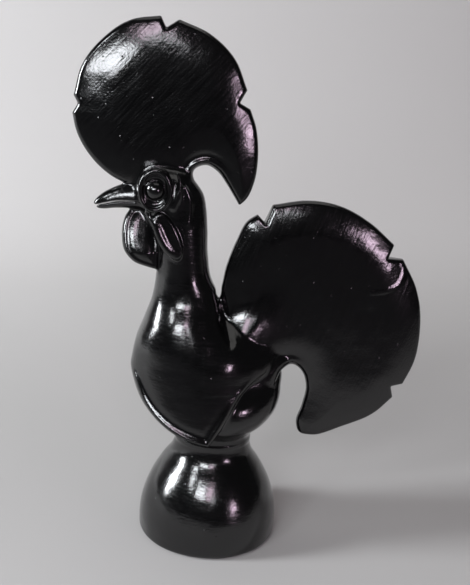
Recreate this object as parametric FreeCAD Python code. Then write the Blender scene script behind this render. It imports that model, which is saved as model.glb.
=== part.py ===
import FreeCAD, Part
import math
import os

# A clay rooster on a bell foot, luted together from thrown, moulded and cut pieces.
# Millimetres. +Z is up, the beak points along -X and the rooster's left side is at -Y.
# The origin is the centre of the flat ring that the foot rests on.

# Clay slip left between two luted pieces, and how far a cutting shape runs past what it cuts
slip_gap = 0.15
cut_overrun = 5.0

# Foot: a thrown bell, open below
foot_radius = 28.0
foot_height = 41.0
foot_wall = 4.0
foot_rim_round = 1.4
waist_radius = 14.8
collar_depth = 5.0

# Spigot of the body, which drops into the foot's collar, and the coil pressed in below it
spigot_radius = 9.8
spigot_length = 8.0
vent_radius = 5.6

# Body with neck and head: two press-moulded shells and the strip pressed over their seam
body_height = 107.0
chest_reach = 34.0
body_half_width = 22.0
body_wall = 4.0
seam_strip_width = 6.0
seam_strip_depth = 1.6

# Comb: a slab cut to shape, its tongue in a slot in the crown
comb_length = 68.0
comb_height = 65.7
comb_thickness = 8.4
comb_lead = 35.0
comb_drop = 13.7

# Tail: a slab cut to shape, its tongue in a slot down the back
tail_length = 83.5
tail_height = 97.0
tail_thickness = 9.0
tail_lead = 1.0
tail_drop = 0.5

# What both slabs share
slab_bevel = 2.6
tongue_thickness = 5.0
tongue_depth = 2.4

# Beak: two cones, one over the other
beak_length = 20.0
beak_width = 10.4
beak_upper_depth = 8.4
beak_lower_depth = 4.8

# Wattle: a flap under the beak
wattle_length = 14.0
wattle_height = 24.5
wattle_thickness = 6.0
wattle_bevel = 1.6

# Eyes: a raised ring with a ball pressed into it
eye_ring_length = 12.6
eye_ring_height = 16.2
eye_ring_band = 2.2
eye_ring_rise = 1.8
eye_ring_bevel = 0.9
eye_sink = 0.4

# Ear lobes: long drops below the eyes
lobe_length = 20.0
lobe_width = 8.0
lobe_rise = 1.2
lobe_bevel = 1.3
lobe_lean_degrees = 27.0

# Points round one level of the body
level_points = 8

# The foot's outline: share of its height, and share of the way in from its radius to the waist's
foot_profile_shares = (
    (0.20, 0.00),
    (0.37, 0.09),
    (0.54, 0.28),
    (0.71, 0.57),
    (0.86, 0.88),
    (1.00, 1.00),
)

# Levels of the upper body, neck and head: share of the body's height above the waist, front
# and back as shares of the chest's reach, and half width as a share of the body's
cheek_share = 0.41
upper_body_shares = (
    (-0.02, -0.60, 0.35, 0.60),
    (0.10, -0.88, 0.52, 0.86),
    (0.20, -0.98, 0.60, 0.97),
    (0.29, -1.00, 0.54, 1.00),
    (0.38, -0.955, 0.28, 0.93),
    (0.46, -0.87, 0.06, 0.76),
    (0.535, -0.795, -0.01, 0.57),
    (0.61, -0.765, -0.135, 0.46),
    (0.70, -0.77, -0.19, 0.42),
    (0.78, -0.82, -0.21, 0.41),
    (0.855, -0.98, -0.235, cheek_share),
    (0.92, -1.035, -0.30, cheek_share),
    (0.965, -0.99, -0.42, 0.33),
    (1.00, -0.90, -0.55, 0.17),
)
hollow_levels = 10

# Levels of the cone under the body, by the same measures
under_body_shares = (
    (0.00, -0.435, 0.435, 0.673),
    (0.03, -0.45, 0.47, 0.70),
    (0.07, -0.48, 0.62, 0.80),
    (0.11, -0.52, 0.71, 0.86),
    (0.16, -0.66, 0.76, 0.84),
    (0.22, -0.74, 0.765, 0.66),
    (0.28, -0.76, 0.73, 0.46),
    (0.34, -0.70, 0.64, 0.38),
)

# Lower edge of the heart-shaped sides, from the chest down to the point and up to the tail:
# shares of the chest's reach, and of the body's height above the waist
heart_front_shares = (
    (-1.10, 0.33),
    (-1.00, 0.25),
    (-0.86, 0.165),
    (-0.62, 0.095),
    (-0.36, 0.055),
    (-0.12, 0.034),
)
heart_back_shares = (
    (-0.12, 0.034),
    (0.08, 0.137),
    (0.23, 0.215),
    (0.40, 0.262),
    (0.60, 0.29),
)
seam_strip_shares = (0.12, 0.50)

# Runs of the comb's outline, from its front round to the arch over the neck: shares of its
# length back from its front, and of its height up from its lowest point
comb_runs_shares = (
    ((0.38, 0.08), (0.25, 0.115), (0.10, 0.24), (0.018, 0.385), (0.0, 0.468)),
    ((0.028, 0.518),),
    ((0.005, 0.560), (0.047, 0.73), (0.16, 0.88), (0.29, 0.97), (0.44, 1.00)),
    ((0.470, 0.943),),
    ((0.536, 0.988), (0.70, 0.925), (0.84, 0.80), (0.915, 0.643)),
    ((0.879, 0.574),),
    ((0.940, 0.543), (0.98, 0.44), (1.00, 0.30), (0.99, 0.14), (0.95, 0.035), (0.915, 0.0)),
    ((0.915, 0.0), (0.89, 0.04), (0.835, 0.125), (0.78, 0.192), (0.72, 0.22), (0.66, 0.195), (0.64, 0.13)),
)
comb_tongue_shares = (0.40, 0.60)

# Runs of the tail's outline, from its front round to the arch and the root in the back
tail_runs_shares = (
    ((-0.03, 0.55), (0.00, 0.62), (0.02, 0.72), (0.06, 0.83), (0.105, 0.91), (0.150, 0.938)),
    ((0.185, 0.908),),
    ((0.215, 0.978), (0.38, 1.00), (0.55, 0.98), (0.70, 0.91), (0.808, 0.838)),
    ((0.780, 0.785),),
    ((0.860, 0.780), (0.943, 0.66), (0.988, 0.49), (0.98, 0.34), (0.935, 0.238)),
    ((0.872, 0.232),),
    ((0.893, 0.180), (0.80, 0.10), (0.65, 0.04), (0.50, 0.0), (0.435, 0.015), (0.420, 0.05),
     (0.442, 0.14), (0.452, 0.22), (0.42, 0.29), (0.36, 0.322), (0.31, 0.31), (0.27, 0.25)),
    ((-0.08, 0.25),),
    ((-0.08, 0.55),),
)
tail_tongue_shares = (0.35, 0.51)

# Run of the wattle's outline, from under the beak down and back to the neck
wattle_run_shares = (
    (0.30, 1.00),
    (0.08, 0.82),
    (0.00, 0.55),
    (0.08, 0.30),
    (0.32, 0.14),
    (0.70, 0.05),
    (1.00, 0.00),
)

# Levels of the beak: share of its length out from its root, rise of the middle as a share of
# its depth, and the share of its full width and depth that is left there
beak_upper_shares = (
    (-0.20, 0.52, 1.00),
    (0.10, 0.57, 0.93),
    (0.305, 0.56, 0.80),
    (0.605, 0.43, 0.62),
    (0.855, 0.18, 0.42),
    (1.00, -0.04, 0.20),
)
beak_lower_shares = (
    (-0.20, 0.04, 1.00),
    (0.305, -0.04, 0.66),
    (0.605, -0.10, 0.60),
    (0.84, -0.28, 0.42),
    (0.96, -0.33, 0.20),
)

# Places on the head, as shares of the chest's reach and of the body's height above the waist
comb_middle_share = -0.68
beak_root_shares = (-0.88, 0.862)
wattle_reach_share = -1.15
wattle_hang_share = 0.99
eye_place_shares = (-0.825, 0.925)
lobe_place_shares = (-0.66, 0.77)

crown_z = foot_height + body_height
cheek = body_half_width * cheek_share
comb_front = chest_reach * comb_middle_share - comb_lead
eye_radius = eye_ring_length / 2 - eye_ring_band - slip_gap
pad_root = comb_thickness / 2 + slip_gap


def body_point(shares):
    """A place on the middle plane, from shares of the chest's reach and the body's height."""
    return FreeCAD.Vector(chest_reach * shares[0], 0, foot_height + body_height * shares[1])


def outline_points(shares, corner, length, height):
    """Places on the middle plane, from shares of a length and a height past a corner."""
    return [FreeCAD.Vector(corner.x + length * x, 0, corner.z + height * z) for x, z in shares]


def curve(points):
    """A smooth edge through points."""
    line = Part.BSplineCurve()
    line.interpolate(points)
    return line.toShape()


def upright_curve(points):
    """A smooth edge through points that starts and ends straight up."""
    line = Part.BSplineCurve()
    up = FreeCAD.Vector(0, 0, 1)
    line.interpolate(Points=points, InitialTangent=up, FinalTangent=up)
    return line.toShape()


def ring(centre, first, second):
    """A closed smooth ring about a centre, through the ends of two half axes."""
    points = []
    for number in range(level_points):
        turn = 2 * math.pi * number / level_points
        points.append(centre + first * math.cos(turn) + second * math.sin(turn))
    line = Part.BSplineCurve()
    line.interpolate(points, PeriodicFlag=True)
    return Part.Wire([line.toShape()])


def block(x_low, x_high, z_low, z_high, half_width):
    """A box across the middle plane."""
    corner = FreeCAD.Vector(x_low, -half_width, z_low)
    return Part.makeBox(x_high - x_low, 2 * half_width, z_high - z_low, corner)


def upright_cylinder(radius, z_low, z_high):
    return Part.makeCylinder(radius, z_high - z_low, FreeCAD.Vector(0, 0, z_low))


def side_shape(edges, half_thickness):
    """A closed outline on the middle plane, extruded to both sides."""
    face = Part.Face(Part.Wire(edges))
    face.translate(FreeCAD.Vector(0, -half_thickness, 0))
    return face.extrude(FreeCAD.Vector(0, 2 * half_thickness, 0))


def bevelled(shape, half_thickness, bevel):
    """The shape with the edges of its two flat sides bevelled."""
    rims = []
    for edge in shape.Edges:
        nearest = min(abs(vertex.Point.y) for vertex in edge.Vertexes)
        if edge.BoundBox.YLength < half_thickness and nearest > half_thickness / 2:
            rims.append(edge)
    return shape.makeChamfer(bevel, rims)


def slab(runs, corner, length, height, thickness, bevel):
    """A flat piece whose outline is smooth runs, with straight lines between runs that don't meet."""
    edges = []
    starts = []
    ends = []
    for shares in runs:
        points = outline_points(shares, corner, length, height)
        if ends and ends[-1] != points[0]:
            edges.append(Part.makeLine(ends[-1], points[0]))
        if len(points) > 1:
            edges.append(curve(points))
        starts.append(points[0])
        ends.append(points[-1])
    edges.append(Part.makeLine(ends[-1], starts[0]))
    return bevelled(side_shape(edges, thickness / 2), thickness / 2, bevel)


def stacked(rows, extra, bottom_drop, top_rise):
    """A form through the levels, grown outward by extra, with its ends moved apart."""
    lowest, highest = rows[0][0], rows[-1][0]
    z_low = foot_height + body_height * lowest - bottom_drop
    z_high = foot_height + body_height * highest + top_rise
    rings = []
    for height, front, back, width in rows:
        z = z_low + (z_high - z_low) * (height - lowest) / (highest - lowest)
        centre = FreeCAD.Vector(chest_reach * (front + back) / 2, 0, z)
        half_length = chest_reach * (back - front) / 2 + extra
        half_width = body_half_width * width + extra
        rings.append(ring(centre, FreeCAD.Vector(half_length, 0, 0), FreeCAD.Vector(0, half_width, 0)))
    return Part.makeLoft(rings, True, False)


def heart(extra):
    """All that lies above the heart-shaped lower edge, lowered by extra."""
    front = [body_point(shares) for shares in heart_front_shares]
    back = [body_point(shares) for shares in heart_back_shares]
    far_front = FreeCAD.Vector(-2 * chest_reach, 0, front[0].z)
    far_back = FreeCAD.Vector(2 * chest_reach, 0, back[-1].z)
    lift = FreeCAD.Vector(0, 0, 2 * body_height)
    edges = [
        Part.makeLine(far_front, front[0]),
        curve(front),
        curve(back),
        Part.makeLine(back[-1], far_back),
        Part.makeLine(far_back, far_back + lift),
        Part.makeLine(far_back + lift, far_front + lift),
        Part.makeLine(far_front + lift, far_front),
    ]
    shape = side_shape(edges, 2 * body_half_width)
    shape.translate(FreeCAD.Vector(0, 0, -extra))
    return shape


def body_form(extra):
    """The solid form of body, neck and head, grown outward by extra."""
    upper = stacked(upper_body_shares, extra, 0, extra)
    under = stacked(under_body_shares, extra, extra, 0)
    return upper.common(heart(extra)).fuse(under)


def hollow_form(inset):
    """The space inside the body and neck, inset from their outside; the head is solid."""
    upper = stacked(upper_body_shares[:hollow_levels], -inset, 0, 0)
    under = stacked(under_body_shares, -inset, -inset, 0)
    return upper.common(heart(-inset)).fuse(under)


def largest(shape):
    """The one solid of a shape, without crumbs that a cut left."""
    return max(shape.Solids, key=lambda solid: solid.Volume)


def foot():
    """The bell, with the collar at its top that takes the body's spigot."""
    narrowing = foot_radius - waist_radius
    outer = []
    for up, inward in foot_profile_shares:
        outer.append(FreeCAD.Vector(foot_radius - narrowing * inward, 0, foot_height * up))
    inner = [point - FreeCAD.Vector(foot_wall, 0, 0) for point in outer[:-1]]
    bore = spigot_radius + slip_gap
    ledge_z = foot_height - collar_depth
    corners = [
        outer[-1],
        FreeCAD.Vector(bore, 0, foot_height),
        FreeCAD.Vector(bore, 0, ledge_z),
        FreeCAD.Vector(inner[-1].x, 0, ledge_z),
        inner[-1],
    ]
    edges = [upright_curve(outer)]
    for start, end in zip(corners[:-1], corners[1:]):
        edges.append(Part.makeLine(start, end))
    edges.append(upright_curve(inner))
    sole = [
        inner[0],
        FreeCAD.Vector(foot_radius - foot_wall, 0, 0),
        FreeCAD.Vector(foot_radius, 0, 0),
        outer[0],
    ]
    for start, end in zip(sole[:-1], sole[1:]):
        edges.append(Part.makeLine(start, end))
    face = Part.Face(Part.Wire(Part.__sortEdges__(edges)))
    bell = face.revolve(FreeCAD.Vector(0, 0, 0), FreeCAD.Vector(0, 0, 1), 360)
    rims = [edge for edge in bell.Edges if edge.BoundBox.ZMax < foot_rim_round and edge.Closed]
    return bell.makeFillet(foot_rim_round, rims)


def waist_coil():
    """A coil of clay pressed into the corner between the spigot and the collar's underside."""
    inside = spigot_radius + slip_gap
    top = foot_height - collar_depth - slip_gap
    ledge_share = foot_profile_shares[-2][1]
    ledge_radius = foot_radius - (foot_radius - waist_radius) * ledge_share - foot_wall
    coil_radius = ledge_radius - inside - slip_gap
    corner = FreeCAD.Vector(inside, 0, top)
    wide = corner + FreeCAD.Vector(coil_radius, 0, 0)
    deep = corner - FreeCAD.Vector(0, 0, coil_radius)
    bulge = corner + FreeCAD.Vector(coil_radius, 0, -coil_radius) * math.sqrt(0.5)
    edges = [
        Part.makeLine(corner, wide),
        Part.Arc(wide, bulge, deep).toShape(),
        Part.makeLine(deep, corner),
    ]
    face = Part.Face(Part.Wire(edges))
    return face.revolve(FreeCAD.Vector(0, 0, 0), FreeCAD.Vector(0, 0, 1), 360)


def comb_tongue(gap):
    """The comb's tongue, or with a gap the slot for it."""
    window = block(
        comb_front + comb_length * comb_tongue_shares[0] - gap,
        comb_front + comb_length * comb_tongue_shares[1] + gap,
        crown_z - 2 * tongue_depth - gap,
        crown_z + tongue_depth,
        tongue_thickness / 2 + gap,
    )
    return window.cut(body_form(-tongue_depth - gap))


def tail_tongue(gap):
    """The tail's tongue, or with a gap the slot for it."""
    window = block(
        -tail_lead,
        chest_reach,
        foot_height + body_height * tail_tongue_shares[0] - gap,
        foot_height + body_height * tail_tongue_shares[1] + gap,
        tongue_thickness / 2 + gap,
    )
    return window.cut(body_form(-tongue_depth - gap))


def comb(skin, beak_room):
    corner = FreeCAD.Vector(comb_front, 0, crown_z - comb_drop)
    plate = slab(comb_runs_shares, corner, comb_length, comb_height, comb_thickness, slab_bevel)
    return largest(plate.cut(skin).cut(beak_room)).fuse(comb_tongue(0))


def tail(skin):
    corner = FreeCAD.Vector(-tail_lead, 0, foot_height - tail_drop)
    plate = slab(tail_runs_shares, corner, tail_length, tail_height, tail_thickness, slab_bevel)
    return largest(plate.cut(skin)).fuse(tail_tongue(0))


def beak_cone(rows, depth, extra):
    """One half of the beak before it is fitted to the head, grown outward by extra."""
    root = body_point(beak_root_shares)
    rings = []
    for out, rise, left in rows:
        centre = FreeCAD.Vector(root.x - beak_length * out, 0, root.z + depth * rise)
        across = FreeCAD.Vector(0, beak_width / 2 * left + extra, 0)
        upward = FreeCAD.Vector(0, 0, depth / 2 * left + extra)
        rings.append(ring(centre, across, upward))
    return Part.makeLoft(rings, True, False)


def beak_upper(skin):
    return beak_cone(beak_upper_shares, beak_upper_depth, 0).cut(skin)


def beak_lower(skin, beak_room):
    return beak_cone(beak_lower_shares, beak_lower_depth, 0).cut(skin).cut(beak_room)


def wattle(skin, beak_room):
    """The flap, seated on the throat and under the beak."""
    root = body_point(beak_root_shares)
    corner = FreeCAD.Vector(
        chest_reach * wattle_reach_share, 0, root.z - wattle_height * wattle_hang_share
    )
    inside = ((1.0, 1.0),)
    runs = (wattle_run_shares, inside)
    flap = slab(runs, corner, wattle_length, wattle_height, wattle_thickness, wattle_bevel)
    lower_room = beak_cone(beak_lower_shares, beak_lower_depth, slip_gap)
    return flap.cut(skin).cut(beak_room).cut(lower_room)


def cheek_pad(shares, side, length, height, lean_degrees, levels):
    """A pad on one side of the head; levels are (how far out, how much narrower)."""
    place = body_point(shares)
    lean = FreeCAD.Rotation(FreeCAD.Vector(0, 1, 0), -lean_degrees)
    rings = []
    for out, narrower in levels:
        centre = FreeCAD.Vector(place.x, side * out, place.z)
        along = lean.multVec(FreeCAD.Vector(length / 2 - narrower, 0, 0))
        upward = lean.multVec(FreeCAD.Vector(0, 0, height / 2 - narrower))
        rings.append(ring(centre, along, upward))
    return Part.makeLoft(rings, True, True)


def eye_ring(side, skin, beak_room):
    """The raised ring round an eye, clear of the comb's side."""
    shoulder = cheek + eye_ring_rise - eye_ring_bevel
    top = cheek + eye_ring_rise
    levels = ((pad_root, 0), (shoulder, 0), (top, eye_ring_bevel))
    band = cheek_pad(eye_place_shares, side, eye_ring_length, eye_ring_height, 0, levels)
    hole_levels = (
        (pad_root - cut_overrun, eye_ring_band),
        (shoulder, eye_ring_band),
        (top, eye_ring_band - eye_ring_bevel),
        (top + cut_overrun, eye_ring_band - eye_ring_bevel),
    )
    hole = cheek_pad(eye_place_shares, side, eye_ring_length, eye_ring_height, 0, hole_levels)
    return band.cut(hole).cut(skin).cut(beak_room)


def eye(side, extra):
    """The ball of an eye, grown outward by extra."""
    place = body_point(eye_place_shares)
    centre = FreeCAD.Vector(place.x, side * (cheek - eye_sink), place.z)
    return Part.makeSphere(eye_radius + extra, centre)


def ear_lobe(side, skin):
    """The drop below an eye, fitted to the neck and to the eye's ring."""
    levels = ((pad_root, 0), (cheek + lobe_rise - lobe_bevel, 0), (cheek + lobe_rise, lobe_bevel))
    drop = cheek_pad(lobe_place_shares, side, lobe_width, lobe_length, lobe_lean_degrees, levels)
    ring_levels = ((pad_root - cut_overrun, -slip_gap), (cheek + cut_overrun, -slip_gap))
    room = cheek_pad(eye_place_shares, side, eye_ring_length, eye_ring_height, 0, ring_levels)
    return drop.cut(skin).cut(room)


def body_shell():
    """Body, neck and head with their hollow, spigot, slots and eye sockets."""
    spigot = upright_cylinder(spigot_radius, foot_height - spigot_length, foot_height + body_wall)
    vent_low = foot_height - spigot_length - cut_overrun
    vent = upright_cylinder(vent_radius, vent_low, foot_height + 2 * body_wall)
    shell = body_form(0).fuse(spigot).cut(hollow_form(body_wall).fuse(vent))
    shell = shell.cut(comb_tongue(slip_gap)).cut(tail_tongue(slip_gap))
    for side in (-1, 1):
        shell = shell.cut(eye(side, slip_gap))
    return shell


def shell_half(shell, side):
    """The half of the shell on one side of the middle plane."""
    reach = 2 * chest_reach
    far = reach if side > 0 else 0
    corner = FreeCAD.Vector(-reach, far - reach, 0)
    room = Part.makeBox(2 * reach, reach, crown_z + cut_overrun, corner)
    return shell.common(room)


def seam_strip():
    """A strip of clay pressed along the inside of the seam, round the body's hollow."""
    outer = hollow_form(body_wall + slip_gap)
    inner = hollow_form(body_wall + slip_gap + seam_strip_depth)
    window = block(
        -chest_reach,
        chest_reach,
        foot_height + body_height * seam_strip_shares[0],
        foot_height + body_height * seam_strip_shares[1],
        seam_strip_width / 2,
    )
    return outer.cut(inner).common(window)


def build():
    """Every piece by name."""
    skin = body_form(slip_gap)
    beak_room = beak_cone(beak_upper_shares, beak_upper_depth, slip_gap)
    shell = body_shell()
    pieces = {
        "foot": foot(),
        "waist_coil": waist_coil(),
        "body_left": shell_half(shell, -1),
        "body_right": shell_half(shell, 1),
        "seam_strip": seam_strip(),
        "comb": comb(skin, beak_room),
        "tail": tail(skin),
        "beak_upper": beak_upper(skin),
        "beak_lower": beak_lower(skin, beak_room),
        "wattle": wattle(skin, beak_room),
    }
    for name, side in (("left", -1), ("right", 1)):
        pieces["eye_ring_" + name] = eye_ring(side, skin, beak_room)
        pieces["eye_" + name] = eye(side, 0)
        pieces["ear_lobe_" + name] = ear_lobe(side, skin)
    return pieces


os.makedirs("parts", exist_ok=True)
for name, shape in build().items():
    solids = shape.Solids
    print(name, "solids", len(solids), "valid", shape.isValid(), "volume", [round(s.Volume) for s in solids])
    shape.exportStep("parts/" + name + ".step")
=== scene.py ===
import math
import bpy
import numpy as np
from mathutils import Matrix, Vector


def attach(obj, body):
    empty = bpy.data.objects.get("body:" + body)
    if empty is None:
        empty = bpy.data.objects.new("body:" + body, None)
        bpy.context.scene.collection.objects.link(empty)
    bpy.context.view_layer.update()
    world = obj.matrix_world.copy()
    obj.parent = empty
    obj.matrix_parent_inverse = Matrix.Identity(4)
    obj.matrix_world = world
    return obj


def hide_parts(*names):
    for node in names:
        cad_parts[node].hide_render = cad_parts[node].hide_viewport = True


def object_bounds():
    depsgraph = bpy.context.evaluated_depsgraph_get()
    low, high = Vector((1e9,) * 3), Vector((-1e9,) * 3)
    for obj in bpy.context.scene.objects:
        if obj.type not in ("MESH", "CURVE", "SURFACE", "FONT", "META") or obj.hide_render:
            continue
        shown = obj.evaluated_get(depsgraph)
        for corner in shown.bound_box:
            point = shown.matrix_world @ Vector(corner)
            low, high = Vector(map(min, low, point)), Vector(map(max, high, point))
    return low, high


# A black lacquered clay rooster. Each piece is modelled as a distance field in millimetres, with
# the slip between the pieces smoothed by a thumb, and each becomes a closed mesh of its own.
# The shares below repeat the ones that the solids are built from, but for the upper body: its sides
# flare towards the heart's lower edge and are slimmer above it.

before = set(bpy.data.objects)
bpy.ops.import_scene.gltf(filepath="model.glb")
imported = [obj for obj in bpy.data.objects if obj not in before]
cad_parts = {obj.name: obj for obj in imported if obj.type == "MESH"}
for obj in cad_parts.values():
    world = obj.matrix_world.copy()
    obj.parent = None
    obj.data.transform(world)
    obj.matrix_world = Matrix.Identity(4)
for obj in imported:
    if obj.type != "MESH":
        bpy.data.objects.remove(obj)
cad_box = [list(corner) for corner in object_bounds()]

MM = 0.001

# Grid steps, for the head and for the big pieces
FINE, MIDDLE = ((0.34, 0.5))

FOOT_RADIUS, FOOT_HEIGHT, FOOT_WALL, WAIST_RADIUS = 28.0, 41.0, 4.0, 14.8
SPIGOT_RADIUS, SPIGOT_PLAY, VENT_RADIUS, COLLAR_DEPTH = 9.8, 0.15, 5.6, 5.0
BODY_HEIGHT, CHEST, HALF_WIDTH, BODY_WALL = 107.0, 34.0, 22.0, 4.0
HOLLOW_TOP = 123.0

# A slab's low corner and size in x and z, and half its thickness; how far its faces droop towards the
# rim and over what width; and the top of the arch that its edge curls round
COMB_CORNER, COMB_SIZE, COMB_HALF = (-58.12, 134.3), (68.0, 65.7), 4.2
COMB_DROOP, COMB_REACH, COMB_ARCH = 2.3, 15, (-11, 149)
TAIL_CORNER, TAIL_SIZE, TAIL_HALF = (-1.0, 40.5), (83.5, 97.0), 4.5
TAIL_DROOP, TAIL_REACH, TAIL_ARCH = 2.7, 14, (24, 73)
# Where the tail's root climbs from the crease towards the hip, and how high
ROOT_PLACE, ROOT_HEIGHT = (3, 86), 6.3

# Head: places in x and z, and depths from the middle plane
EYE, EYE_DEPTH, EYE_RADIUS = (-28.05, 139.975), 8.4, 3.75
RING_SIZE, RING_DEPTH, SOCKET_DEPTH = (12.6, 16.2), 10.6, 9.6
LOBE, LOBE_SIZE, LOBE_LEAN, LOBE_DEPTH = (-22.5, 123.4), (7.6, 19.0), -27, 10.1
SEAT_DEPTH = 4.4
MOUTH = (CHEST * -0.88, FOOT_HEIGHT + BODY_HEIGHT * 0.862)
BEAK_LENGTH, BEAK_HALF_WIDTH, UPPER_DEPTH, LOWER_DEPTH = 20.0, 5.2, 8.4, 4.8
WATTLE_SIZE, WATTLE_HALF = (14.0, 24.5), 3.4

# How a piece ends under its neighbours: how fast it sinks, and how far it goes on
SINK, OVERLAP = 0.05, 2.4

# Shares of a size: the foot's height and narrowing; the body's height, front, back and half width; the
# heart's edge; and the outlines of slabs and wattle, in runs that meet in corners
FOOT_PROFILE = ((0.0, 0.0), (0.20, 0.0), (0.37, 0.09), (0.54, 0.28), (0.71, 0.57), (0.86, 0.88), (1.0, 1.0))
UPPER_BODY = (
    (-0.02, -1.02, 0.62, 1.05),
    (0.10, -1.02, 0.62, 1.00),
    (0.20, -1.01, 0.60, 0.95),
    (0.29, -1.00, 0.54, 0.885),
    (0.38, -0.955, 0.28, 0.80),
    (0.46, -0.87, 0.06, 0.67),
    (0.535, -0.795, -0.01, 0.50),
    (0.61, -0.765, -0.135, 0.43),
    (0.70, -0.77, -0.19, 0.42),
    (0.78, -0.82, -0.21, 0.41),
    (0.855, -0.98, -0.235, 0.41),
    (0.92, -1.035, -0.30, 0.41),
    (0.965, -0.99, -0.42, 0.33),
    (1.00, -0.90, -0.55, 0.17),
)
UNDER_BODY = (
    (0.00, -0.435, 0.435, 0.673),
    (0.03, -0.45, 0.47, 0.70),
    (0.07, -0.48, 0.62, 0.80),
    (0.11, -0.52, 0.71, 0.86),
    (0.16, -0.66, 0.76, 0.84),
    (0.22, -0.74, 0.765, 0.66),
    (0.28, -0.76, 0.73, 0.46),
    (0.34, -0.70, 0.64, 0.38),
)
HEART_FRONT = ((-1.10, 0.33), (-1.00, 0.25), (-0.86, 0.165), (-0.62, 0.095), (-0.36, 0.055), (-0.12, 0.034))
HEART_BACK = ((-0.12, 0.034), (0.08, 0.137), (0.23, 0.215), (0.40, 0.262), (0.60, 0.29))
COMB_RUNS = (
    ((0.38, 0.08), (0.25, 0.115), (0.10, 0.24), (0.018, 0.385), (0.0, 0.468)),
    ((0.028, 0.518),),
    ((0.005, 0.560), (0.047, 0.73), (0.16, 0.88), (0.29, 0.97), (0.44, 1.00)),
    ((0.470, 0.943),),
    ((0.536, 0.988), (0.70, 0.925), (0.84, 0.80), (0.915, 0.643)),
    ((0.879, 0.574),),
    ((0.940, 0.543), (0.98, 0.44), (1.00, 0.30), (0.99, 0.14), (0.95, 0.035), (0.915, 0.0)),
    ((0.915, 0.0), (0.89, 0.04), (0.835, 0.125), (0.78, 0.192), (0.72, 0.22), (0.66, 0.195), (0.64, 0.13)),
)
TAIL_RUNS = (
    ((-0.03, 0.55), (0.00, 0.62), (0.02, 0.72), (0.06, 0.83), (0.105, 0.91), (0.150, 0.938)),
    ((0.185, 0.908),),
    ((0.215, 0.978), (0.38, 1.00), (0.55, 0.98), (0.70, 0.91), (0.808, 0.838)),
    ((0.780, 0.785),),
    ((0.860, 0.780), (0.943, 0.66), (0.988, 0.49), (0.98, 0.34), (0.935, 0.238)),
    ((0.872, 0.232),),
    ((0.893, 0.180), (0.80, 0.10), (0.65, 0.04), (0.50, 0.0), (0.435, 0.015), (0.420, 0.05),
     (0.442, 0.14), (0.452, 0.22), (0.42, 0.29), (0.36, 0.322), (0.31, 0.31), (0.27, 0.25)),
    ((-0.08, 0.25),),
    ((-0.08, 0.55),),
)
WATTLE_RUN = (
    (0.30, 1.00), (0.08, 0.82), (0.00, 0.55), (0.08, 0.30), (0.32, 0.14), (0.70, 0.05), (1.00, 0.00),
)

# Half a beak from root to tip: the share of its length, its middle's rise and its depth
BEAK_UPPER = (
    (-0.20, 0.52, 1.00),
    (0.10, 0.57, 0.93),
    (0.305, 0.56, 0.80),
    (0.605, 0.43, 0.62),
    (0.855, 0.18, 0.42),
    (1.00, -0.04, 0.20),
)
BEAK_LOWER = (
    (-0.20, 0.04, 1.00),
    (0.305, -0.04, 0.66),
    (0.605, -0.10, 0.60),
    (0.84, -0.28, 0.42),
    (0.96, -0.33, 0.20),
)

# Folds of slip behind the eye and round the lobe: x, depth from the middle plane, z and radius
NECK_RIDGES = (
    ((-20.2, 8.7, 146.5, 0.4), (-19.2, 8.9, 142.5, 0.6), (-19.6, 8.9, 138.0, 0.6), (-21.2, 8.8, 134.0, 0.4)),
    ((-17.0, 8.0, 141.5, 0.2), (-15.6, 7.6, 137.5, 0.5), (-15.2, 7.5, 133.0, 0.4), (-15.6, 7.6, 128.0, 0.2)),
    ((-30.5, 8.2, 131.5, 0.8), (-27.6, 9.4, 127.5, 1.0), (-25.2, 9.8, 122.5, 0.9), (-22.6, 9.6, 118.6, 0.8),
     (-19.2, 9.0, 116.6, 0.5)),
)
# Lines on the slab faces and in the crease between neck and tail: x, z and radius
TAIL_SCAR = ((68, 118, 0.3), (71, 112, 0.4), (69, 106.5, 0.4), (64, 104, 0.4), (58, 103, 0.2))
NECK_CREASE = ((-1.6, 100, 0.2), (-0.4, 96, 0.4), (0.5, 92, 0.5), (1.2, 88, 0.4), (2.6, 84, 0.0))


def spline(knots, values, at):
    """Smooth values at places between knots, held beyond the ends."""
    knots = np.asarray(knots, float)
    values = np.asarray(values, float)
    gaps = np.diff(knots)
    rises = np.diff(values, axis=0) / gaps.reshape(-1, *[1] * (values.ndim - 1))
    slopes = np.empty_like(values)
    slopes[0], slopes[-1] = rises[0], rises[-1]
    weight = (gaps[1:] / (gaps[1:] + gaps[:-1])).reshape(-1, *[1] * (values.ndim - 1))
    slopes[1:-1] = rises[:-1] * weight + rises[1:] * (1 - weight)
    at = np.clip(at, knots[0], knots[-1])
    cell = np.clip(np.searchsorted(knots, at, side="right") - 1, 0, len(gaps) - 1)
    gap = gaps[cell]
    t = (at - knots[cell]) / gap
    if values.ndim > 1:
        gap, t = gap[..., None], t[..., None]
    before, after = values[cell], values[cell + 1]
    return (
        before * (2 * t**3 - 3 * t**2 + 1)
        + after * (3 * t**2 - 2 * t**3)
        + gap * slopes[cell] * (t**3 - 2 * t**2 + t)
        + gap * slopes[cell + 1] * (t**3 - t**2)
    )


def smooth_path(points, steps=7):
    """A smooth open line through points."""
    points = np.asarray(points, float)
    if len(points) < 3:
        return points
    along = np.concatenate([[0], np.cumsum(np.linalg.norm(np.diff(points, axis=0), axis=1))])
    count = (len(points) - 1) * steps + 1
    return spline(along, points, np.interp(np.linspace(0, len(points) - 1, count), range(len(points)), along))


def soft_min(a, b, reach):
    """The smaller of two fields, with the corner between them filled over a reach."""
    near = np.clip(1 - np.abs(a - b) / reach, 0, 1)
    return np.minimum(a, b) - near**2 * reach / 4


def soft_max(a, b, reach):
    """The larger of two fields, with the corner between them worn off over a reach."""
    return -soft_min(-a, -b, reach)


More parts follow.
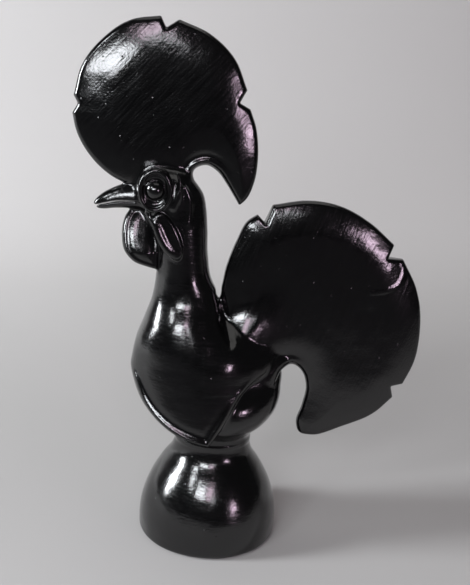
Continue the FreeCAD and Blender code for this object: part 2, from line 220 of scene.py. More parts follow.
def rounded_corner(a, b, radius):
    """What lies inside both fields, its edge rounded to a radius."""
    u, v = a + radius, b + radius
    return np.minimum(np.maximum(u, v), 0) + np.hypot(np.maximum(u, 0), np.maximum(v, 0)) - radius


def bump(distance, width):
    """A smooth hump that falls from 1 to 0 over a width."""
    return np.exp(-((distance / width) ** 2))


def fall(value, width):
    """A smooth step from 1 down to 0 as a value passes nought, over a few widths."""
    return 1 / (1 + np.exp(value / width))


def noise(x, y, z, cell, seed):
    """Smooth random swell between -1 and 1 with hills about a cell wide, the same on every grid."""
    low, size = np.array((-80.0, -50.0, -20.0)), np.array((180.0, 100.0, 240.0))
    counts = (size / cell).astype(int) + 3
    values = np.random.default_rng(seed).uniform(-1, 1, counts)
    for axis, places in enumerate((x, y, z)):
        at = (places.ravel() - low[axis]) / cell
        base = np.floor(at).astype(int)
        t = at - base
        t = t**3 * (t * (6 * t - 15) + 10)
        weights = np.zeros((len(at), counts[axis]))
        weights[np.arange(len(at)), base] = 1 - t
        weights[np.arange(len(at)), base + 1] = t
        values = np.moveaxis(np.tensordot(weights, values, (1, axis)), 0, axis)
    return values


def outline(runs, corner, size):
    """A closed outline on the middle plane, from shares of a size past a corner."""
    points = []
    for shares in runs:
        run = [(corner[0] + size[0] * x, corner[1] + size[1] * z) for x, z in shares]
        points.extend(smooth_path(run).tolist() if len(run) > 2 else run)
    return np.array(points)


def region(points, x, z):
    """Distance to a closed outline on the middle plane, below zero inside."""
    best = np.full(np.broadcast(x, z).shape, 1e9)
    inside = np.zeros(best.shape, bool)
    for (x0, z0), (x1, z1) in zip(points, np.roll(points, -1, axis=0)):
        dx, dz = x1 - x0, z1 - z0
        length = dx * dx + dz * dz
        if length < 1e-12:
            continue
        t = np.clip(((x - x0) * dx + (z - z0) * dz) / length, 0, 1)
        best = np.minimum(best, (x - x0 - t * dx) ** 2 + (z - z0 - t * dz) ** 2)
        if z0 != z1:
            crosses = ((z0 > z) != (z1 > z)) & (x < x0 + (z - z0) * dx / dz)
            inside ^= crosses
    return np.where(inside, -1, 1) * np.sqrt(best)


def strand(points, x, y, z, flat=False):
    """Distance to a smooth line through places in space, less its radius there; rows are (x, y, z, radius).

    A flat line has no y and lies on the middle plane.
    """
    if flat:
        points = [(px, 0.0, pz, r) for px, pz, r in points]
    line = smooth_path(points, 5)
    best = np.full(np.broadcast(x, y, z).shape, 1e9)
    for a, b in zip(line[:-1], line[1:]):
        d = b[:3] - a[:3]
        t = np.clip(((x - a[0]) * d[0] + (y - a[1]) * d[1] + (z - a[2]) * d[2]) / max(d @ d, 1e-9), 0, 1)
        far = np.sqrt((x - a[0] - t * d[0]) ** 2 + (y - a[1] - t * d[1]) ** 2 + (z - a[2] - t * d[2]) ** 2)
        best = np.minimum(best, far - a[3] - t * (b[3] - a[3]))
    return best


def stack(rows, x, y, z):
    """Distance to a form through level ellipses; rows are (height, front, back, half width) shares."""
    rows = np.array(rows)
    level = (z - FOOT_HEIGHT) / BODY_HEIGHT
    front, back, width = np.moveaxis(spline(rows[:, 0], rows[:, 1:], level), -1, 0)
    middle, half, wide = CHEST * (front + back) / 2, CHEST * (back - front) / 2, HALF_WIDTH * width
    dx = x - middle
    spread = np.sqrt((dx / half) ** 2 + (y / wide) ** 2) + 1e-6
    out = np.sqrt(dx**2 + y**2)
    far = out - out / spread
    slope_z = np.gradient(far, axis=2) / (z[0, 0, 1] - z[0, 0, 0])
    return far / np.sqrt(1 + np.clip(slope_z, -2, 2) ** 2)


def foot_field(x, y, z):
    """Distance to the bell's outside, and the same for its inside."""
    shares = np.array(FOOT_PROFILE)
    narrow = FOOT_RADIUS - WAIST_RADIUS
    radius = FOOT_RADIUS - narrow * spline(shares[:, 0], shares[:, 1], z / FOOT_HEIGHT)
    slope = np.gradient(radius, axis=2) / (z[0, 0, 1] - z[0, 0, 0])
    out = np.hypot(x, y)
    tilt = np.sqrt(1 + slope**2)
    side = (out - radius) / tilt
    outside = rounded_corner(side, -z, 1.9)
    outside = np.maximum(outside, z - FOOT_HEIGHT)
    inside = (out - radius + FOOT_WALL) / tilt
    return outside, inside


def slab(edge, rim, y, half, droop, reach, radius, raised=0.0):
    """A slab from its outline's field: thinner towards its rim, with its edge rounded to a radius."""
    inward = np.clip(1 + rim / reach, 0, 1)
    face = (np.abs(y) - half - raised + droop * inward**2) / np.sqrt(1 + (2 * droop * inward / reach) ** 2)
    return rounded_corner(edge, face, radius)


def comb_field(x, y, z):
    """The comb's slab, its edge rolled round the arch behind the head."""
    edge = region(comb_outline, x, z)
    near_arch = bump(np.hypot(x - COMB_ARCH[0], z - COMB_ARCH[1]), 8)
    lip = 0.9 * bump(edge + 1.6, 1.4) * near_arch - 0.5 * bump(edge + 4.2, 1.5) * near_arch
    radius = 1.6 + 1.2 * near_arch
    return slab(edge, region(comb_rim, x, z), y, COMB_HALF, COMB_DROOP, COMB_REACH, radius, lip)


def tail_field(x, y, z):
    """The tail's slab, its edge rolled round the arch, with a thick root and a scar by the upper notch."""
    edge = region(tail_outline, x, z)
    near_arch = bump(np.hypot(x - TAIL_ARCH[0], z - TAIL_ARCH[1]), 9)
    lip = 0.9 * bump(edge + 2.2, 1.7) * near_arch - 0.4 * bump(edge + 5.4, 1.8) * near_arch
    dx, dz = x - ROOT_PLACE[0], z - ROOT_PLACE[1]
    across, along = 0.66 * dx - 0.75 * dz, 0.75 * dx + 0.66 * dz
    bend, half = 1.1, 4.6
    climb = (np.logaddexp(0, bend * across + half) - np.logaddexp(0, bend * across - half)) / (2 * half)
    root = ROOT_HEIGHT * climb * bump(np.maximum(across - 5, 0), 17) * fall(along - 8, 5.0)
    scar = strand(TAIL_SCAR, x, 0.0, z, flat=True)
    lip = lip + root + 0.16 * bump(np.maximum(scar, 0), 0.6)
    radius = 1.5 + 2.2 * near_arch
    return slab(edge, region(tail_rim, x, z), y, TAIL_HALF, TAIL_DROOP, TAIL_REACH, radius, lip)


def heart_field(x, z):
    """Below zero above the heart-shaped lower edge of the sides."""
    lower = [
        smooth_path([(CHEST * a, FOOT_HEIGHT + BODY_HEIGHT * b) for a, b in run])
        for run in (HEART_FRONT, HEART_BACK)
    ]
    wide, top = 90, 260
    start, end = (-wide, lower[0][0][1]), (wide, lower[1][-1][1])
    points = np.concatenate([[start], *lower, [end, (wide, top), (-wide, top)]])
    return region(points, x, z)


def body_field(x, y, z):
    """Body, neck and head as one solid form."""
    upper = stack(UPPER_BODY, x, y, z)
    upper = soft_max(upper, z - FOOT_HEIGHT - BODY_HEIGHT, 3.0)
    edge = heart_field(x, z)
    front = fall(x + 1, 2.0)
    bead = (0.25 + 0.5 * front) * bump(edge + 1.6, 1.2) - 0.2 * front * bump(edge + 4.2, 1.4)
    bead = bead * fall(z - 70, 1.8)
    sides = rounded_corner(upper - bead, edge, 1.9)
    under = np.maximum(stack(UNDER_BODY, x, y, z), FOOT_HEIGHT - z)
    under = np.maximum(under, z - FOOT_HEIGHT - 0.34 * BODY_HEIGHT)
    return soft_min(sides, under, 1.6)


def beak_half(rows, depth, up, x, y, z):
    """Half a beak, domed above or below the line of the mouth."""
    rows = np.array(rows)
    out = (MOUTH[0] - x) / BEAK_LENGTH
    rise, left = np.moveaxis(spline(rows[:, 0], rows[:, 1:], out), -1, 0)
    deep = depth * left
    mouth = z - MOUTH[1] - depth * rise + up * 0.46 * deep
    spread = np.sqrt((y / (BEAK_HALF_WIDTH * left)) ** 2 + (mouth / (0.96 * deep)) ** 2) + 1e-6
    far = np.hypot(y, mouth)
    dome = rounded_corner(far - far / spread, -up * mouth, 0.6)
    ends = np.maximum(out - rows[-1, 0], rows[0, 0] - out) * BEAK_LENGTH
    return soft_max(dome, ends, 1.6)


def wattle_field(x, y, z):
    """The flap under the beak, with a rolled rim; it leans outwards at its foot."""
    corner = (CHEST * -1.15, MOUTH[1] - WATTLE_SIZE[1] * 0.99)
    points = outline((WATTLE_RUN, ((1.0, 1.0),)), corner, WATTLE_SIZE)
    edge = region(points, x, z)
    lean = 4.4 * np.clip((131 - z) / 15, 0, 1) - 1.2 - 0.10 * (x + 37)
    rim = 0.3 * bump(edge + 1.0, 0.8) - 0.15 * bump(edge + 2.2, 0.8)
    return slab(edge, edge, y, WATTLE_HALF, 1.5, 6, 1.3, lean + rim)


def oval(x, z, place, size, lean=0.0):
    """Distance to an oval on the side of the head, leaning back by degrees."""
    turn = math.radians(lean)
    dx, dz = x - place[0], z - place[1]
    along = dx * math.cos(turn) - dz * math.sin(turn)
    up = dx * math.sin(turn) + dz * math.cos(turn)
    spread = np.sqrt((along / size[0] * 2) ** 2 + (up / size[1] * 2) ** 2) + 1e-6
    far = np.hypot(along, up)
    return far - far / spread


comb_outline = outline(COMB_RUNS, COMB_CORNER, COMB_SIZE)
tail_outline = outline(TAIL_RUNS, TAIL_CORNER, TAIL_SIZE)
# The same without the notches, which are the runs of one point; the tail's two in the body stay
comb_rim = outline([run for run in COMB_RUNS if len(run) > 1], COMB_CORNER, COMB_SIZE)
tail_rim = outline([run for run in TAIL_RUNS if len(run) > 1 or run[0][0] < 0], TAIL_CORNER, TAIL_SIZE)


class Fields:
    """Every piece's own field on one grid, and the blended whole."""

    def __init__(self, low, high, step):
        counts = [int(math.ceil((b - a) / step)) + 1 for a, b in zip(low, high)]
        self.step = step
        self.low = np.array(low, float)
        x, y, z = (self.low[k] + step * np.arange(counts[k]) for k in range(3))
        self.x, self.y, self.z = x[:, None, None], y[None, :, None], z[None, None, :]
        self.side = np.abs(self.y)
        self.high = self.low + step * (np.array(counts) - 1)
        self.parts = {}
        self.make()

    def meets(self, low, high, room=9.0):
        """Whether a box comes near this grid."""
        return all(a - room < d and b + room > c for a, b, c, d in zip(low, high, self.low, self.high))

    def make(self):
        """The fields of the pieces that come near, blended one after another."""
        x, y, z = self.x, self.side, self.z
        parts = self.parts
        body = body_field(x, y, z)
        parts["body"] = body
        whole = body
        # Each box holds a piece, which is left out of the grids that it doesn't come near
        if self.meets((-30, -30, 0), (30, 30, 42)):
            parts["foot"], self.foot_inside = foot_field(x, y, z)
            whole = soft_min(whole, parts["foot"], 2.5)
        if self.meets((-2, -6, 40), (84, 6, 138)):
            parts["tail"] = tail_field(x, y, z)
            # The slip is widest on the hip, and never fills the arch or the gap behind the neck
            reach = (1.0 + 13.0 * fall(z - 84 + 0.5 * (x - 8), 2.2)) * (1 - 0.75 * fall(z - 66, 2.5))
            bounds = np.minimum(whole, region(tail_outline, x, z))
            whole = soft_max(soft_min(whole, parts["tail"], reach), bounds - 0.5, 1.2)
            crease = strand(NECK_CREASE, x, 0.0, z, flat=True)
            whole = whole + 0.8 * bump(np.maximum(crease, 0), 1.5)
        if self.meets((-60, -5, 130), (12, 5, 201)):
            parts["comb"] = comb_field(x, y, z)
            whole = soft_min(whole, parts["comb"], 2.2)
        if self.meets((-52, -12, 105), (-14, 12, 150)):
            whole = self.head(whole)
        self.whole = whole + self.waves()

    def head(self, whole):
        """The pieces luted to the head, and the marks a tool left round them."""
        x, y, z = self.x, self.side, self.z
        parts = self.parts
        parts["beak_upper"] = beak_half(BEAK_UPPER, UPPER_DEPTH, 1, x, y, z)
        parts["beak_lower"] = beak_half(BEAK_LOWER, LOWER_DEPTH, -1, x, y, z)
        parts["wattle"] = wattle_field(x, y, z)
        whole = soft_min(whole, soft_min(parts["beak_upper"], parts["beak_lower"], 0.5), 1.6)
        whole = soft_min(whole, parts["wattle"], 1.4)

        seat = SEAT_DEPTH - y
        rim = oval(x, z, EYE, RING_SIZE)
        band = np.abs(rim + 1.1) - 0.95
        ring = rounded_corner(band, np.maximum(y - RING_DEPTH, seat), 0.85)
        lobe = oval(x, z, LOBE, LOBE_SIZE, LOBE_LEAN)
        parts["ear_lobe"] = rounded_corner(lobe, np.maximum(y - LOBE_DEPTH, seat), 1.2)
        ridge = oval(x, z, EYE, (9.6, 10.8))
        level = SOCKET_DEPTH + 0.4 * bump(ridge, 1.1) - 0.4 * bump(ridge + 2.0, 0.8)
        socket = rounded_corner(rim + 2.0, level - y, 0.5)
        pad = rounded_corner(rim + 1.0, y - level, 0.5)
        parts["eye_ring"] = np.minimum(ring, np.maximum(pad, seat))
        whole = soft_min(whole, parts["eye_ring"], 0.7)
        whole = soft_max(whole, -socket, 0.5)
        whole = soft_min(whole, parts["ear_lobe"], 0.7)
        ball = np.sqrt((x - EYE[0]) ** 2 + (y - EYE_DEPTH) ** 2 + (z - EYE[1]) ** 2) - EYE_RADIUS
        parts["eye"] = ball
        whole = soft_min(whole, ball, 0.35)
        for fold in NECK_RIDGES:
            whole = soft_min(whole, strand(fold, x, y, z), 2.2)
        return whole

    def waves(self):
        """The unevenness of a hand-made surface."""
        x, y, z = self.x, self.y, self.z
        return 0.22 * noise(x, y, z, 14, 1) + 0.06 * noise(x, y, z, 6, 2) + 0.018 * noise(x, y, z, 2.4, 3)

    def piece(self, name, side=0):
        """A piece's closed field: the whole within its own share, and a sliver under its neighbours."""
        shape = self.whole.shape
        others = [np.broadcast_to(field, shape) for key, field in self.parts.items() if key != name]
        share = self.parts[name] - np.minimum.reduce(others)
        closed = self.whole + SINK * np.maximum(share, 0)
        closed = np.maximum(closed, share - OVERLAP)
        if side:
            across = self.y * -side
            closed = np.maximum(closed + SINK * np.maximum(across, 0), across - OVERLAP / 2)
        return closed


# The 12 edges of a cell, between corners whose numbers differ in one bit
EDGES = [(a, b) for a in range(8) for b in range(a + 1, 8) if bin(a ^ b).count("1") == 1]


def surface(values, low, step):
    """Corner points and quads of the closed surface where a field is zero."""
    inside = values < 0
    shape = np.array(values.shape) - 1
    corners = [
        tuple(slice(n, n + size) for n, size in zip((i, j, k), shape))
        for i in (0, 1) for j in (0, 1) for k in (0, 1)
    ]
    count = sum(inside[c].astype(np.uint8) for c in corners)
    cells = np.argwhere((count > 0) & (count < 8))
    number = np.full(shape, -1, np.int64)
    number[tuple(cells.T)] = np.arange(len(cells))
    at = [values[tuple((cells + [(n >> 2) & 1, (n >> 1) & 1, n & 1]).T)] for n in range(8)]
    total = np.zeros((len(cells), 3))
    hits = np.zeros(len(cells))
    for a, b in EDGES:
        cross = (at[a] < 0) != (at[b] < 0)
        with np.errstate(divide="ignore", invalid="ignore"):
            t = np.where(cross, at[a] / (at[a] - at[b]), 0)
        pa = np.array([(a >> 2) & 1, (a >> 1) & 1, a & 1], float)
        pb = np.array([(b >> 2) & 1, (b >> 1) & 1, b & 1], float)
        total += np.where(cross[:, None], pa + t[:, None] * (pb - pa), 0)
        hits += cross
    points = cells + total / hits[:, None]
    quads = []
    for axis in range(3):
        u, v = (axis + 1) % 3, (axis + 2) % 3
        ahead = [slice(None)] * 3
        ahead[axis] = slice(1, None)
        behind = [slice(None)] * 3
        behind[axis] = slice(None, -1)
        change = inside[tuple(behind)].astype(np.int8) - inside[tuple(ahead)].astype(np.int8)
        where = np.argwhere(change != 0)
        pair, room = where[:, [u, v]], shape[[u, v]]
        where = where[((pair > 0) & (pair < room)).all(1)]
        sign = change[tuple(where.T)]
        ring = []
        for du, dv in ((0, 0), (1, 0), (1, 1), (0, 1)):
            cell = where.copy()
            cell[:, u] -= du
            cell[:, v] -= dv
            ring.append(number[tuple(cell.T)])
        ring = np.stack(ring, 1)
        ring[sign < 0] = ring[sign < 0][:, ::-1]
        quads.append(ring)
    quads = np.concatenate(quads)
    quads = quads[(quads >= 0).all(1)]
    points = settle(points, values)
    return points * step + low, quads, slope_at(values, points)


def slope_at(values, points):
    """The field's slope at places between grid places."""
    return np.stack([sample(values, points + d) - sample(values, points - d) for d in np.eye(3) * 0.7], 1)


def sample(values, points):
    """Values between grid places."""
    base = np.clip(np.floor(points).astype(int), 0, np.array(values.shape) - 2)
    t = points - base
    total = 0
    for n in range(8):
        bit = np.array([(n >> 2) & 1, (n >> 1) & 1, n & 1])
        weight = np.prod(np.where(bit, t, 1 - t), axis=1)
        total = total + weight * values[tuple((base + bit).T)]
    return total


def settle(points, values):
    """Moves points on to the surface along the field's slope."""
    for _ in range(3):
        here = sample(values, points)
        slope = slope_at(values, points) / 1.4
        points = points - np.clip(here / np.maximum((slope**2).sum(1), 1e-3), -0.3, 0.3)[:, None] * slope
    return points


def keep_largest(points, quads, slopes):
    """The shells of a surface without its crumbs."""
    label = np.arange(len(points))
    while True:
        low = label[quads].min(1)
        new = label.copy()
        for k in range(4):
            np.minimum.at(new, quads[:, k], low)
        new = new[new]
        if (new == label).all():
            break
        label = new
    names, counts = np.unique(label, return_counts=True)
    big = set(names[counts > 0.02 * len(points)].tolist())
    keep = np.isin(label, list(big))
    index = np.cumsum(keep) - 1
    quads = quads[keep[quads].all(1)]
    return points[keep], index[quads], slopes[keep]


def make_mesh(name, points, quads, slopes, strokes):
    """A smooth-shaded object of quads, its normals along the field's slope."""
    mesh = bpy.data.meshes.new(name)
    mesh.vertices.add(len(points))
    mesh.vertices.foreach_set("co", (points * MM).astype(np.float32).ravel())
    mesh.loops.add(quads.size)
    mesh.loops.foreach_set("vertex_index", quads.astype(np.int32).ravel())
    mesh.polygons.add(len(quads))
    mesh.polygons.foreach_set("loop_start", np.arange(0, quads.size, 4, dtype=np.int32))
    mesh.polygons.foreach_set("use_smooth", np.ones(len(quads), bool))
    mesh.update(calc_edges=True)
    mesh.validate()
    normals = slopes / np.maximum(np.linalg.norm(slopes, axis=1), 1e-9)[:, None]
    mesh.normals_split_custom_set_from_vertices(normals.tolist())
    brush = mesh.attributes.new("brush", "FLOAT_VECTOR", "POINT")
    brush.data.foreach_set("vector", strokes.astype(np.float32).ravel())
    piece = bpy.data.objects.new(name, mesh)
    bpy.context.scene.collection.objects.link(piece)
    return piece


# How steeply the brush ran over a slab, in degrees; elsewhere it ran round the form
STROKE_LEAN = {"comb_slab": 48, "tail_slab": 68}


def strokes(name, points):
    """Brush coordinates in millimetres: along a stroke, across it, and through it."""
    x, y, z = points.T
    if name in STROKE_LEAN:
        turn = math.radians(STROKE_LEAN[name])
        along = x * math.cos(turn) + z * math.sin(turn)
        across = x * math.sin(turn) - z * math.cos(turn)
        return np.stack([along, across, y], 1)
    return np.stack([x + 0.6 * y, z + 0.1 * x, y - 0.6 * x], 1)


def add_piece(name, fields, closed, *nodes):
    """A finished piece that stands for CAD nodes, held inside their box."""
    points, quads, slopes = keep_largest(*surface(closed, fields.low, fields.step))
    points = np.clip(points, *(np.array(cad_box) / MM))
    piece = make_mesh(name, points, quads, slopes, strokes(name, points))
    piece.data.materials.append(lacquer)
    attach(piece, "root")
    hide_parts(*nodes)
    print(name, len(points), "points")


def new_material(name):
    """An empty node material, its nodes and its links."""
    material = bpy.data.materials.new(name)
    material.use_nodes = True
    tree = material.node_tree
    tree.nodes.clear()
    return material, tree.nodes, tree.links


def lacquer_material():
    """Gloss black laid on by brush: streaks along the strokes, dust under the film, a few pits."""
    material, nodes, links = new_material("black_lacquer")
    out = nodes.new("ShaderNodeOutputMaterial")
    shader = nodes.new("ShaderNodeBsdfPrincipled")
    shader.inputs["Base Color"].default_value = (0.002, 0.002, 0.0022, 1)
    shader.inputs["IOR"].default_value = 1.5
    shader.inputs["Coat Weight"].default_value = 0.4
    shader.inputs["Coat Roughness"].default_value = 0.07

    brush = nodes.new("ShaderNodeAttribute")
    brush.attribute_name = "brush"
    place = nodes.new("ShaderNodeTexCoord")

    def texture(kind, source, stretch, **settings):
        """A texture of unit scale on stretched coordinates."""
        mapping = nodes.new("ShaderNodeMapping")
        mapping.inputs["Scale"].default_value = stretch
        links.new(source, mapping.inputs["Vector"])
        node = nodes.new(kind)
        node.inputs["Scale"].default_value = 1.0
        for key, value in settings.items():
            node.inputs[key].default_value = value
        links.new(mapping.outputs["Vector"], node.inputs["Vector"])
        return node

    def stroked(stretch, **settings):
        """Noise stretched along the brush strokes, which are in millimetres."""
        return texture("ShaderNodeTexNoise", brush.outputs["Vector"], stretch, **settings).outputs["Fac"]

    def grain(kind, per_metre, **settings):
        """An even texture with that many cells in a metre."""
        return texture(kind, place.outputs["Object"], (per_metre,) * 3, **settings)

    def curve(value, low, high):
        """A value spread smoothly from nought at low to one at high."""
        ramp = nodes.new("ShaderNodeMapRange")
        ramp.interpolation_type = "SMOOTHSTEP"
        ramp.inputs["From Min"].default_value = low
        ramp.inputs["From Max"].default_value = high
        links.new(value, ramp.inputs["Value"])
        return ramp.outputs["Result"]

    def bump_on(height, distance, strength, before=None):
        """A bump of a height, on top of one that came before."""
        node = nodes.new("ShaderNodeBump")
        node.inputs["Distance"].default_value = distance
        node.inputs["Strength"].default_value = strength
        links.new(height, node.inputs["Height"])
        if before:
            links.new(before, node.inputs["Normal"])
        return node.outputs["Normal"]

    bands = stroked((0.035, 0.32, 0.1), Detail=1.0)
    streaks = stroked((0.10, 1.5, 0.3), Detail=3.0, Roughness=0.62)
    speckle = grain("ShaderNodeTexNoise", 1200.0, Detail=2.0).outputs["Fac"]
    dust = grain("ShaderNodeTexNoise", 1400.0, Detail=1.0).outputs["Fac"]
    clusters = grain("ShaderNodeTexNoise", 70.0, Detail=2.0).outputs["Fac"]
    pits = grain("ShaderNodeTexVoronoi", 210.0).outputs["Distance"]

    # Dust shows in clusters alone
    grit = nodes.new("ShaderNodeMath")
    grit.operation = "MULTIPLY"
    links.new(curve(dust, 0.62, 0.76), grit.inputs[0])
    links.new(curve(clusters, 0.46, 0.70), grit.inputs[1])

    normal = bump_on(bands, 0.0006, 0.09)
    normal = bump_on(streaks, 0.0003, 0.12, normal)
    normal = bump_on(speckle, 0.0001, 0.4, normal)
    normal = bump_on(grit.outputs["Value"], 0.0001, 0.2, normal)
    normal = bump_on(curve(pits, 0.0, 0.09), 0.0002, 0.5, normal)
    links.new(normal, shader.inputs["Normal"])
    links.new(normal, shader.inputs["Coat Normal"])

    rough = nodes.new("ShaderNodeMapRange")
    rough.inputs["From Min"].default_value = 0.3
    rough.inputs["From Max"].default_value = 0.7
    rough.inputs["To Min"].default_value = 0.10
    rough.inputs["To Max"].default_value = 0.22
    links.new(streaks, rough.inputs["Value"])
    links.new(rough.outputs["Result"], shader.inputs["Roughness"])
    links.new(shader.outputs["BSDF"], out.inputs["Surface"])
    return material


def clay_material():
    """Bare fired clay, for the pieces inside."""
    material, nodes, links = new_material("raw_clay")
    out = nodes.new("ShaderNodeOutputMaterial")
    shader = nodes.new("ShaderNodeBsdfPrincipled")
    noise = nodes.new("ShaderNodeTexNoise")
    noise.inputs["Scale"].default_value = 900
    ramp = nodes.new("ShaderNodeValToRGB")
    ramp.color_ramp.elements[0].color = (0.42, 0.2, 0.11, 1)
    ramp.color_ramp.elements[1].color = (0.62, 0.35, 0.21, 1)
    place = nodes.new("ShaderNodeTexCoord")
    links.new(place.outputs["Object"], noise.inputs["Vector"])
    links.new(noise.outputs["Fac"], ramp.inputs["Fac"])
    links.new(ramp.outputs["Color"], shader.inputs["Base Color"])
    shader.inputs["Roughness"].default_value = 0.85
    links.new(shader.outputs["BSDF"], out.inputs["Surface"])
    return material


lacquer = lacquer_material()
clay = clay_material()

# The two pieces inside are shown as their own solids, in bare clay
for node in ("waist_coil", "seam_strip"):
    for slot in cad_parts[node].material_slots:
        slot.material = clay

# The camera stands at a heading, a rise and so many millimetres from the foot's centre, and turns by three
# angles; its focal length and the photo's height are in pixels
CAMERA_AZIMUTH, CAMERA_RISE, CAMERA_FAR = math.radians(-8.0), math.radians(31.2), 368.5
HEADING, PITCH, ROLL = math.radians(8.9), math.radians(-16.0), math.radians(-4.2)
FOCAL_LENGTH, PHOTO_HEIGHT = 850, 585
camera_data = bpy.data.cameras.new("camera")
camera = bpy.data.objects.new("camera", camera_data)
bpy.context.scene.collection.objects.link(camera)
bpy.context.scene.camera = camera
camera_data.sensor_width = 36.0
camera_data.lens = FOCAL_LENGTH / PHOTO_HEIGHT * camera_data.sensor_width
camera_data.clip_start, camera_data.clip_end = 0.01, 20.0
level, height = CAMERA_FAR * math.cos(CAMERA_RISE), CAMERA_FAR * math.sin(CAMERA_RISE)
stand = Vector((math.sin(CAMERA_AZIMUTH) * level, -math.cos(CAMERA_AZIMUTH) * level, height)) * MM
camera.matrix_world = (
    Matrix.Translation(stand)
    @ Matrix.Rotation(-HEADING, 4, "Z")
    @ Matrix.Rotation(math.pi / 2 + PITCH, 4, "X")
    @ Matrix.Rotation(-ROLL, 4, "Z")
)

# Each grid is a box in millimetres that holds its pieces. The body is two shells round a hollow, on a
# spigot with a vent through it.
body_grid = Fields((-38, -24, 30), (32, 24, 152), MIDDLE)
SPIGOT_MIDDLE, SPIGOT_HALF, VENT_TOP = 39, 6, 52
out = np.hypot(body_grid.x, body_grid.y)
spigot = np.maximum(out - SPIGOT_RADIUS, np.abs(body_grid.z - SPIGOT_MIDDLE) - SPIGOT_HALF)
vent = np.maximum(out - VENT_RADIUS, body_grid.z - VENT_TOP)
hollow = soft_max(body_grid.parts["body"] + BODY_WALL, body_grid.z - HOLLOW_TOP, 3.0)
room = np.minimum(hollow, vent)
for name, side in (("left", -1), ("right", 1)):
    closed = np.minimum(body_grid.piece("body", side), np.maximum(spigot, body_grid.y * -side))
    add_piece("shell_" + name, body_grid, np.maximum(closed, -room), "body_" + name)

# The foot is open below, and the spigot's bore runs down into it through the collar
foot_grid = Fields((-30, -30, -2), (30, 30, 45), MIDDLE)
BORE_BOTTOM = 30
out = np.hypot(foot_grid.x, foot_grid.y)
bore = np.maximum(out - SPIGOT_RADIUS - SPIGOT_PLAY, BORE_BOTTOM - foot_grid.z)
bell = np.maximum(foot_grid.foot_inside, foot_grid.z - FOOT_HEIGHT + COLLAR_DEPTH)
closed = np.maximum(foot_grid.piece("foot"), -np.minimum(bore, bell))
add_piece("bell_foot", foot_grid, closed, "foot")

tail_grid = Fields((-6, -15, 38), (84, 15, 140), MIDDLE)
add_piece("tail_slab", tail_grid, tail_grid.piece("tail"), "tail")

comb_grid = Fields((-60, -8, 131), (12, 8, 203), MIDDLE)
add_piece("comb_slab", comb_grid, comb_grid.piece("comb"), "comb")

middle_grid = Fields((-53, -7, 105), (-20, 7, 150), FINE)
for name in ("beak_upper", "beak_lower", "wattle"):
    add_piece(name + "_form", middle_grid, middle_grid.piece(name), name)

left_grid = Fields((-53, -12.5, 105), (-14, 0, 150), FINE)
right_grid = Fields((-53, 0, 105), (-14, 12.5, 150), FINE)
for side, grid in (("left", left_grid), ("right", right_grid)):
    for name in ("eye_ring", "eye", "ear_lobe"):
        add_piece(name + "_form_" + side, grid, grid.piece(name), name + "_" + side)


# The paper, in metres: half its width, where its front begins, where it bends up, the bend's radius and its
# top. Its tones lie from front to back, and each gives way to the next between two places: a nearly black
# front, which is painted shade for the lacquer to mirror in place of unlit floor; a darker near floor round
# the foot, which is painted shade; and the pale back.
PAPER_HALF, PAPER_FRONT, PAPER_BACK, PAPER_BEND, PAPER_TOP = 3.0, -3.0, 0.35, 0.45, 2.0
FRONT_PAINTED_DARK, NEAR_PAINTED_SHADE, BACK_TONE = (0.07, 0.07, 0.07, 1), (0.47, 0.46, 0.45, 1), (0.78, 0.765, 0.75, 1)
PAINTED_DARK_FADE, PAINTED_SHADE_FADE = (-0.23, -0.09), (0.0, 0.55)


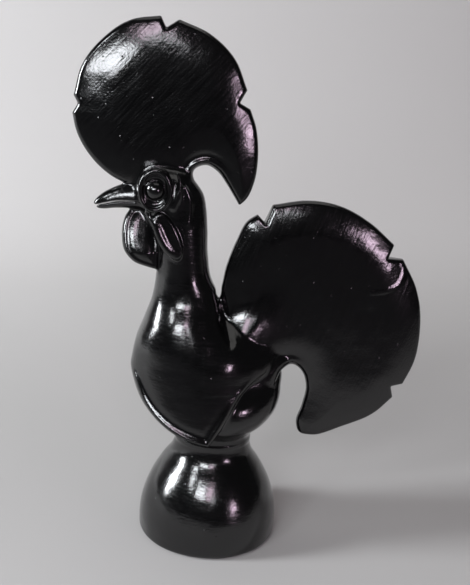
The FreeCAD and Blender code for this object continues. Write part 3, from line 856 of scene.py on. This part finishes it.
def stage_floor():
    """A sheet of paper that lies under the foot and rises behind it: pale at the back, with painted shade
    darker near the foot and nearly black in front.
    """
    material, nodes, links = new_material("paper")
    out = nodes.new("ShaderNodeOutputMaterial")
    shader = nodes.new("ShaderNodeBsdfPrincipled")
    shader.inputs["Roughness"].default_value = 0.9
    shader.inputs["Specular IOR Level"].default_value = 0.1
    place = nodes.new("ShaderNodeTexCoord")
    split = nodes.new("ShaderNodeSeparateXYZ")
    # Towards the front the paper turns nearly black: painted shade for the lacquer to mirror
    front_shade_mask = nodes.new("ShaderNodeMapRange")
    front_shade_mask.interpolation_type = "SMOOTHSTEP"
    front_shade_mask.inputs["From Min"].default_value, front_shade_mask.inputs["From Max"].default_value = PAINTED_DARK_FADE
    mix = nodes.new("ShaderNodeMix")
    mix.data_type = "RGBA"
    mix.inputs["A"].default_value = FRONT_PAINTED_DARK
    # Near the foot the paper is painted darker than at the back: painted shade
    rise = nodes.new("ShaderNodeMapRange")
    rise.interpolation_type = "SMOOTHSTEP"
    rise.inputs["From Min"].default_value, rise.inputs["From Max"].default_value = PAINTED_SHADE_FADE
    tone = nodes.new("ShaderNodeMix")
    tone.data_type = "RGBA"
    tone.inputs["A"].default_value = NEAR_PAINTED_SHADE
    tone.inputs["B"].default_value = BACK_TONE
    links.new(place.outputs["Object"], split.inputs["Vector"])
    links.new(split.outputs["Y"], front_shade_mask.inputs["Value"])
    links.new(split.outputs["Y"], rise.inputs["Value"])
    links.new(rise.outputs["Result"], tone.inputs["Factor"])
    links.new(tone.outputs["Result"], mix.inputs["B"])
    links.new(front_shade_mask.outputs["Result"], mix.inputs["Factor"])
    links.new(mix.outputs["Result"], shader.inputs["Base Color"])
    links.new(shader.outputs["BSDF"], out.inputs["Surface"])

    section = [(PAPER_FRONT, 0.0), (-0.26, 0.0), (0.0, 0.0), (PAPER_BACK, 0.0)]
    for turn in np.radians(np.arange(6, 91, 6)):
        section.append((PAPER_BACK + PAPER_BEND * math.sin(turn), PAPER_BEND - PAPER_BEND * math.cos(turn)))
    section.append((PAPER_BACK + PAPER_BEND, PAPER_TOP))
    points = [(x, y, z) for y, z in section for x in (-PAPER_HALF, PAPER_HALF)]
    faces = [(2 * k, 2 * k + 1, 2 * k + 3, 2 * k + 2) for k in range(len(section) - 1)]
    mesh = bpy.data.meshes.new("paper_sheet")
    mesh.from_pydata(points, [], faces)
    for face in mesh.polygons:
        face.use_smooth = True
    mesh.materials.append(material)
    sheet = bpy.data.objects.new("paper_sheet", mesh)
    bpy.context.scene.collection.objects.link(sheet)


# The place that every panel of light faces
PANEL_AIM = Vector((0, 0, 0.11))


def panel(name, azimuth, rise, far, width, height, radiance, color):
    """A soft panel that faces the object from a heading off the photo's side and a rise, in degrees."""
    a, e = math.radians(azimuth), math.radians(rise)
    way = Vector((math.sin(a) * math.cos(e), -math.cos(a) * math.cos(e), math.sin(e)))
    data = bpy.data.lights.new(name, "AREA")
    data.shape = "RECTANGLE"
    data.size, data.size_y = width, height
    data.energy = radiance * math.pi * width * height
    data.color = color
    light = bpy.data.objects.new(name, data)
    light.location = PANEL_AIM + way * far
    light.rotation_euler = (-way).to_track_quat("-Z", "Y").to_euler()
    bpy.context.scene.collection.objects.link(light)


stage_floor()

# What the lacquer mirrors: heading and rise, distance, width and height in metres, radiance and colour
panel("window", -88, 18, 1.1, 0.23, 0.42, 48.0, (0.93, 0.965, 1.0))
panel("window_edge", -47, 33, 1.1, 0.16, 0.20, 20.0, (0.93, 0.965, 1.0))
panel("doorway", -22, 20, 0.43, 0.15, 0.075, 22.0, (0.93, 0.96, 1.0))
panel("window_far", 2, 21, 1.1, 0.17, 0.07, 10.0, (0.93, 0.96, 1.0))
panel("lamp", -3, 27, 1.1, 0.20, 0.15, 12.0, (1.0, 0.80, 0.95))
panel("side_lamp", 37, 5, 1.1, 0.14, 0.15, 22.0, (1.0, 0.76, 0.95))
panel("ceiling", 100, 82, 1.5, 1.2, 1.2, 0.8, (1.0, 0.98, 0.96))

world = bpy.data.worlds.new("world")
bpy.context.scene.world = world
world.use_nodes = True
world.node_tree.nodes["Background"].inputs["Color"].default_value = (0.03, 0.03, 0.03, 1)

bpy.context.scene.view_settings.view_transform = "Standard"
